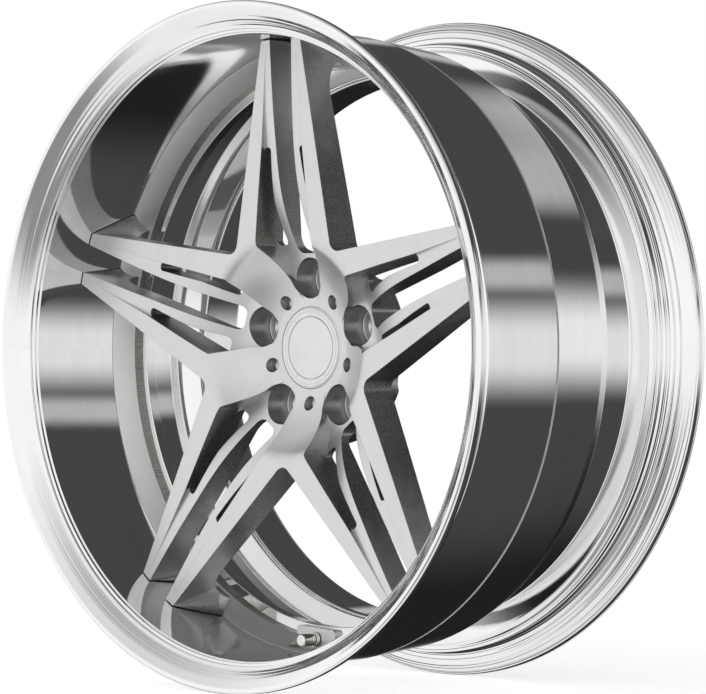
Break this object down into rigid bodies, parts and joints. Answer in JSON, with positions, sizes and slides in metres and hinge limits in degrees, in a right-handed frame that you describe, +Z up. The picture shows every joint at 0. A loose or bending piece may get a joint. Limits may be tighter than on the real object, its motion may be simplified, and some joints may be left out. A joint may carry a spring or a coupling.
{
  "type": "forged racing wheel rim",
  "caption": "Deep-dish multi-piece forged car wheel: satin star centre of twin-legged arms bolted between polished rim halves, with cap and valve.",
  "frame": {"origin": "centre of the wheel, on its axis midway between the two flange edges", "axes": "+Y along the wheel's axis towards the car, street side towards -Y; +Z up; +X to the right seen from the street side"},
  "size_m": [0.542, 0.2604, 0.542],
  "materials": {
    "centre_satin": "satin",
    "rim_polished": "mirror polished",
    "sealant": "matt",
    "steel": "bright",
    "lug_seat": "machined",
    "cap_satin": "satin",
    "valve_metal": "polished",
    "brass": "machined",
    "rubber": "matt"
  },
  "bodies": {
    "wheel": {"forged_centre": "centre_satin", "outer_rim_half": "rim_polished", "inner_rim_half": "rim_polished", "seam_seal": "sealant", "rim_bolts": "steel", "rim_bolt_washers": "steel", "lug_seat_1": "lug_seat", "lug_seat_2": "lug_seat", "lug_seat_3": "lug_seat", "lug_seat_4": "lug_seat", "lug_seat_5": "lug_seat", "valve_stem": "valve_metal", "valve_base_seal": "rubber", "valve_core_body": "brass", "valve_core_spring": "steel"},
    "centre_cap": {"centre_cap_body": "cap_satin", "centre_cap_ring": "cap_satin", "centre_cap_face": "cap_satin", "cap_retaining_spring": "steel", "cap_o_ring": "rubber"},
    "valve_cap": {"valve_cap": "valve_metal", "valve_cap_seal": "rubber"},
    "valve_core": {"valve_core_pin": "brass", "valve_core_seal": "rubber"}
  },
  "joints": [
    {"name": "cap_pull_off", "type": "slide", "parent": "wheel", "child": "centre_cap", "axis": [0, -1, 0], "range_m": [0, 0.045]},
    {"name": "valve_cap_off", "type": "slide", "parent": "wheel", "child": "valve_cap", "axis": [0, -1, 0], "range_m": [0, 0.03]},
    {"name": "valve_core_press", "type": "slide", "parent": "wheel", "child": "valve_core", "axis": [0, 1, 0], "range_m": [0, 0.0012], "stiffness_N_per_m": 300, "springref_m": -0.002, "deforming": ["valve_core_spring"]}
  ]
}
